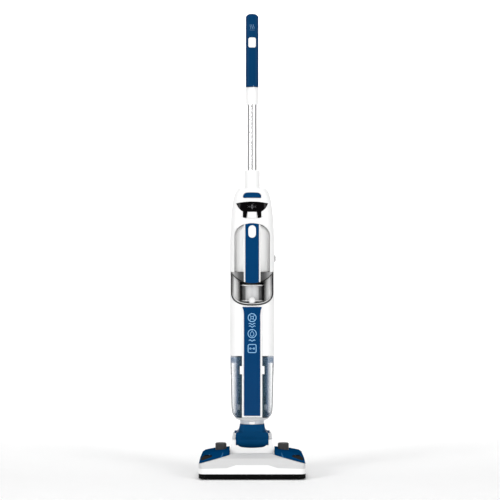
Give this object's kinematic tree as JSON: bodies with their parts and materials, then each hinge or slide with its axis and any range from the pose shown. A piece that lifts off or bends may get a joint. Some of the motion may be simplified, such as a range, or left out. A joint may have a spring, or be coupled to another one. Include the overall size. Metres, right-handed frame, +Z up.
{
  "type": "upright steam and suction floor cleaner",
  "caption": "Upright floor cleaner with a wide floor head on rollers, tilting ankle, slim white body, clear water tank, removable suction unit with clear dust cup, metal tube and blue grip.",
  "frame": {"origin": "on the floor, on the axis of the tube and body", "axes": "+Z up along the tube, -Y to the front where the water tank and dust cup face, +X to the right seen from the front"},
  "size_m": [0.267, 0.173, 1.1704],
  "materials": {
    "white_gloss": "gloss",
    "pale_grey_gloss": "gloss",
    "neck_grey": "satin",
    "blue_gloss": "gloss",
    "blue_satin": "satin",
    "black_gloss": "gloss",
    "black_matte": "matte",
    "dark_grey": "matte",
    "spine_blue": "satin",
    "smoke_collar": "satin",
    "clear_cup": "clear",
    "clear_tank": "clear",
    "lid_blue": "clear",
    "aluminium": "polished",
    "steel": "satin",
    "boiler_alloy": "cast",
    "filter_grey": "matte",
    "seal_rubber": "matte",
    "bristle_black": "matte",
    "board_green": "satin",
    "motor_metal": "satin"
  },
  "bodies": {
    "floor_head": {"base_plate": "black_matte", "lower_shell": "white_gloss", "upper_shell": "pale_grey_gloss", "side_cover_left": "blue_gloss", "side_cover_right": "blue_gloss", "ankle_yoke": "white_gloss", "suction_channel": "black_matte", "steam_nozzle": "black_matte", "roller_axles": "steel"},
    "roller_front_left": {"roller_front_left": "dark_grey"},
    "roller_front_right": {"roller_front_right": "dark_grey"},
    "roller_rear_left": {"roller_rear_left": "dark_grey"},
    "roller_rear_right": {"roller_rear_right": "dark_grey"},
    "foot_button_left": {"foot_button_left": "dark_grey"},
    "foot_button_right": {"foot_button_right": "dark_grey"},
    "sole_frame": {"bristle_frame": "black_matte", "bristle_strips": "bristle_black"},
    "ankle": {"ankle": "blue_gloss"},
    "neck": {"neck_swivel": "neck_grey"},
    "main_body": {"rear_shell": "white_gloss", "upper_front_cover": "white_gloss", "lower_front_panel": "white_gloss", "lower_spine": "spine_blue", "bottom_cap": "white_gloss", "neck_sleeve": "neck_grey", "duct_elbow": "black_matte", "control_fascia": "black_gloss", "tube_socket": "white_gloss", "water_pump": "black_matte", "boiler": "boiler_alloy", "circuit_board": "board_green", "suction_hose": "black_matte", "cord_gland": "black_matte", "body_screws": "steel"},
    "brush_release_button": {"brush_release_button": "white_gloss"},
    "control_pad": {"control_pad": "black_gloss"},
    "unit_latch": {"unit_latch": "white_gloss"},
    "tube_release_button": {"tube_release_button": "blue_gloss"},
    "power_rocker": {"power_rocker": "neck_grey"},
    "upper_cable_hook": {"upper_cable_hook": "neck_grey"},
    "handle": {"handle_tube": "aluminium", "tube_collar": "white_gloss", "grip_front": "blue_satin", "grip_back": "blue_satin"},
    "grip_button": {"grip_button": "white_gloss"},
    "suction_unit": {"motor_housing": "white_gloss", "container_collar": "smoke_collar", "container_seal": "seal_rubber", "handle_bar": "blue_gloss", "handle_bar_back": "white_gloss", "motor": "motor_metal"},
    "unit_button": {"unit_button": "white_gloss"},
    "impeller": {"impeller": "black_matte"},
    "dust_container": {"dust_cup": "clear_cup", "dust_filter": "filter_grey"},
    "water_tank": {"water_tank": "clear_tank", "tank_lid": "lid_blue", "tank_strip": "blue_gloss", "tank_strip_frame": "white_gloss"},
    "tank_cap": {"tank_cap": "blue_gloss"}
  },
  "joints": [
    {"name": "roller_front_left_spin", "type": "hinge", "parent": "floor_head", "child": "roller_front_left", "pos_m": [-0.117, -0.084, 0.008], "axis": [1, 0, 0], "continuous": true},
    {"name": "roller_rear_left_spin", "type": "hinge", "parent": "floor_head", "child": "roller_rear_left", "pos_m": [-0.117, 0.05, 0.008], "axis": [1, 0, 0], "continuous": true},
    {"name": "roller_front_right_spin", "type": "hinge", "parent": "floor_head", "child": "roller_front_right", "pos_m": [0.117, -0.084, 0.008], "axis": [1, 0, 0], "continuous": true},
    {"name": "roller_rear_right_spin", "type": "hinge", "parent": "floor_head", "child": "roller_rear_right", "pos_m": [0.117, 0.05, 0.008], "axis": [1, 0, 0], "continuous": true},
    {"name": "foot_button_left_press", "type": "slide", "parent": "floor_head", "child": "foot_button_left", "axis": [0, 0, -1], "range_m": [0, 0.006], "stiffness_N_per_m": 900, "springref_m": -0.0025},
    {"name": "foot_button_right_press", "type": "slide", "parent": "floor_head", "child": "foot_button_right", "axis": [0, 0, -1], "range_m": [0, 0.006], "stiffness_N_per_m": 900, "springref_m": -0.0025},
    {"name": "sole_frame_drop", "type": "slide", "parent": "floor_head", "child": "sole_frame", "axis": [0, 0, -1], "range_m": [0, 0.025]},
    {"name": "ankle_tilt", "type": "hinge", "parent": "floor_head", "child": "ankle", "pos_m": [0, 0.01, 0.095], "axis": [-1, 0, 0], "range_deg": [0, 75]},
    {"name": "neck_turn", "type": "hinge", "parent": "ankle", "child": "neck", "pos_m": [0, 0, 0], "axis": [0, 0, 1], "range_deg": [-40, 40]},
    {"name": "body_lift_off", "type": "slide", "parent": "neck", "child": "main_body", "axis": [0, 0, 1], "range_m": [0, 0.03]},
    {"name": "brush_release_press", "type": "slide", "parent": "main_body", "child": "brush_release_button", "axis": [0, 1, 0], "range_m": [0, 0.0025], "stiffness_N_per_m": 600, "springref_m": -0.001},
    {"name": "control_pad_press", "type": "slide", "parent": "main_body", "child": "control_pad", "axis": [0, 1, 0], "range_m": [0, 0.0012], "stiffness_N_per_m": 900, "springref_m": -0.0005},
    {"name": "unit_latch_press", "type": "slide", "parent": "main_body", "child": "unit_latch", "axis": [0, 1, 0], "range_m": [0, 0.0022], "stiffness_N_per_m": 700, "springref_m": -0.001},
    {"name": "tube_release_press", "type": "slide", "parent": "main_body", "child": "tube_release_button", "axis": [0, 1, 0], "range_m": [0, 0.003], "stiffness_N_per_m": 700, "springref_m": -0.001},
    {"name": "power_rocker_tilt", "type": "hinge", "parent": "main_body", "child": "power_rocker", "pos_m": [0.053, 0, 0.55], "axis": [0, 1, 0], "range_deg": [-6, 6]},
    {"name": "cable_hook_turn", "type": "hinge", "parent": "main_body", "child": "upper_cable_hook", "pos_m": [0, 0.052, 0.69], "axis": [0, 1, 0], "range_deg": [0, 180]},
    {"name": "handle_lift_off", "type": "slide", "parent": "main_body", "child": "handle", "axis": [0, 0, 1], "range_m": [0, 0.05]},
    {"name": "grip_button_press", "type": "slide", "parent": "handle", "child": "grip_button", "axis": [0, 1, 0], "range_m": [0, 0.0025], "stiffness_N_per_m": 500, "springref_m": -0.001},
    {"name": "suction_unit_pull", "type": "slide", "parent": "main_body", "child": "suction_unit", "axis": [0, -1, 0], "range_m": [0, 0.09]},
    {"name": "unit_button_press", "type": "slide", "parent": "suction_unit", "child": "unit_button", "axis": [0, 1, 0], "range_m": [0, 0.0025], "stiffness_N_per_m": 500, "springref_m": -0.001},
    {"name": "impeller_spin", "type": "hinge", "parent": "suction_unit", "child": "impeller", "pos_m": [0, -0.003, 0.56], "axis": [0, 0, 1], "continuous": true},
    {"name": "dust_container_pull", "type": "slide", "parent": "suction_unit", "child": "dust_container", "axis": [0, -1, 0], "range_m": [0, 0.07]},
    {"name": "water_tank_pull", "type": "slide", "parent": "main_body", "child": "water_tank", "axis": [0, -1, 0], "range_m": [0, 0.09]},
    {"name": "tank_cap_turn", "type": "hinge", "parent": "water_tank", "child": "tank_cap", "pos_m": [0, -0.016, 0.298], "axis": [0, 0, 1], "range_deg": [0, 90]}
  ]
}
